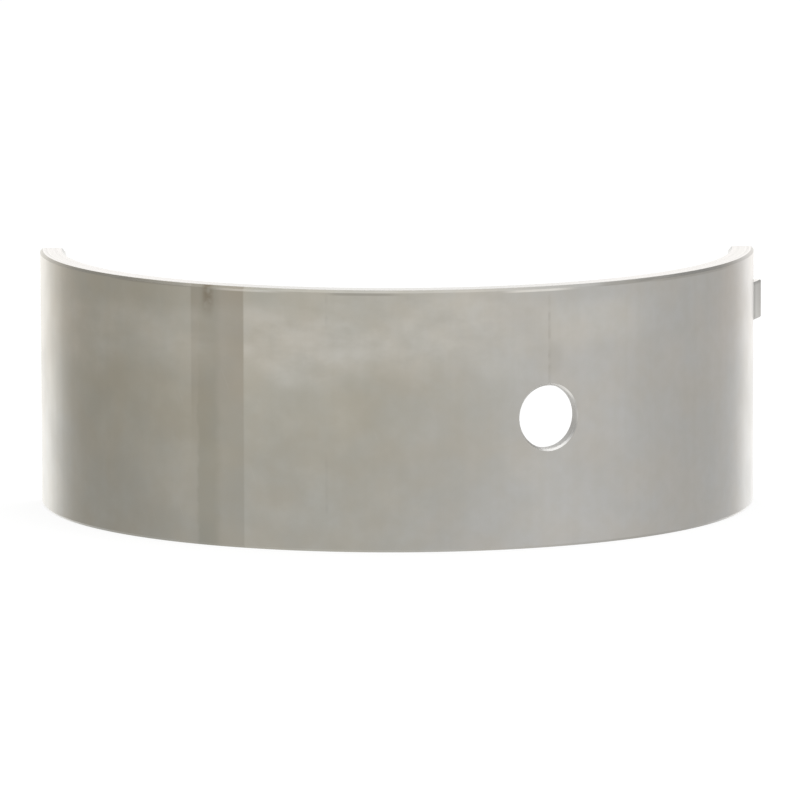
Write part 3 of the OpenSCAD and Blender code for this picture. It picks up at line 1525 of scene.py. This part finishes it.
@dataclass(frozen=True)
class Softbox:
    """A square lamp that faces the shell."""

    name: str
    place: Point
    side: float
    watts: float

    def build(self) -> None:
        """Hangs the lamp."""
        light = bpy.data.lights.new(self.name, "AREA")
        light.size = self.side
        light.energy = self.watts
        lamp = bpy.data.objects.new(self.name, light)
        lamp.location = self.place
        lamp.rotation_euler = Vector(self.place).to_track_quat("Z", "Y").to_euler()
        bpy.context.scene.collection.objects.link(lamp)


@dataclass(frozen=True)
class Studio:
    """A pale floor that keeps the shell's shadow, two soft lamps and a white surround."""

    floor_size: float = 4.0
    floor_gap: float = 0.01 * MM
    floor_glow: float = 0.83
    floor_paint: Color = (0.22, 0.22, 0.22)
    fill: Color = (0.55, 0.55, 0.55)
    white: Color = (1.0, 1.0, 1.0)
    lamps: tuple[Softbox, ...] = (
        Softbox("overhead_softbox", (0.0, 0.05, 0.75), 1.2, 4.4),
        Softbox("side_softbox", (0.55, -0.45, 0.55), 0.5, 1.2),
    )

    def build(self, floor_height: float) -> None:
        """Builds the floor, the world and the lamps.

        Args:
            floor_height: height of the face that the shell stands on.
        """
        self._floor(floor_height - self.floor_gap)
        self._world()
        for lamp in self.lamps:
            lamp.build()

    def _floor(self, height: float) -> None:
        """Lays the floor. The metal mirrors the surround's own ground in its place.

        Args:
            height: the floor's height.
        """
        half = self.floor_size / 2
        square = ((-half, -half), (half, -half), (half, half), (-half, half))
        mesh = bpy.data.meshes.new("studio_floor")
        mesh.from_pydata([(x, y, height) for x, y in square], [], [(0, 1, 2, 3)])
        floor = bpy.data.objects.new("studio_floor", mesh)
        bpy.context.scene.collection.objects.link(floor)
        floor.visible_glossy = False
        material = bpy.data.materials.new("pale_floor")
        nodes = fresh_nodes(material)
        glow = nodes.out("ShaderNodeEmission", {"Color": rgba(self.white), "Strength": self.floor_glow})
        paint = nodes.out("ShaderNodeBsdfDiffuse", {"Color": rgba(self.floor_paint)})
        both = nodes.out("ShaderNodeAddShader", {0: glow, 1: paint})
        nodes.add("ShaderNodeOutputMaterial", {"Surface": both})
        mesh.materials.append(material)

    def _world(self) -> None:
        """Makes the world: white to the camera, toned in reflections, and a plain fill for the floor."""
        world = bpy.data.worlds.new("white_studio")
        nodes = fresh_nodes(world)
        way = nodes.add("ShaderNodeTexCoord").outputs["Object"]
        path = nodes.add("ShaderNodeLightPath").outputs
        open_view = nodes.most(path["Is Camera Ray"], path["Is Transmission Ray"])
        color = nodes.mix(path["Is Glossy Ray"], self.fill, Surround().color(nodes, way))
        color = nodes.mix(open_view, color, self.white)
        surround = nodes.out("ShaderNodeBackground", {"Color": color, "Strength": 1.0})
        nodes.add("ShaderNodeOutputWorld", {"Surface": surround})
        bpy.context.scene.world = world


@dataclass(frozen=True)
class PhotoCamera:
    """The camera, at the photograph's viewing angle."""

    target: Point = (0.260 * MM, 0.0, -2.676 * MM)
    distance: float = 879.5 * MM
    elevation: float = math.radians(7.766)
    roll: float = math.radians(0.166)
    focal_px: float = 8936.5
    frame_px: float = 800.0
    sensor: float = 36.0
    clip_start: float = 0.01

    def build(self) -> None:
        """Places the camera and makes it the scene's own."""
        data = bpy.data.cameras.new("photo_camera")
        data.sensor_width = self.sensor
        data.lens = self.focal_px / self.frame_px * self.sensor
        data.clip_start = self.clip_start
        camera = bpy.data.objects.new("photo_camera", data)
        back = Vector((0.0, -math.cos(self.elevation), math.sin(self.elevation)))
        turn = (-back).to_track_quat("-Z", "Y").to_matrix() @ Matrix.Rotation(-self.roll, 3, "Z")
        camera.matrix_world = Matrix.Translation(Vector(self.target) + back * self.distance) @ turn.to_4x4()
        bpy.context.scene.collection.objects.link(camera)
        bpy.context.scene.camera = camera


def main() -> None:
    """Builds the camera, the shell and the studio, in that order."""
    logging.basicConfig(level=logging.INFO, format="%(name)s: %(message)s")
    bpy.context.scene.view_settings.view_transform = "Standard"
    PhotoCamera().build()
    shell = BearingShell(ShellSizes.from_frame()).build()
    LOG.info("%s rides on %s", shell.name, BODY)
    Studio().build(cad_low.z)


if __name__ == "__main__":
    main()
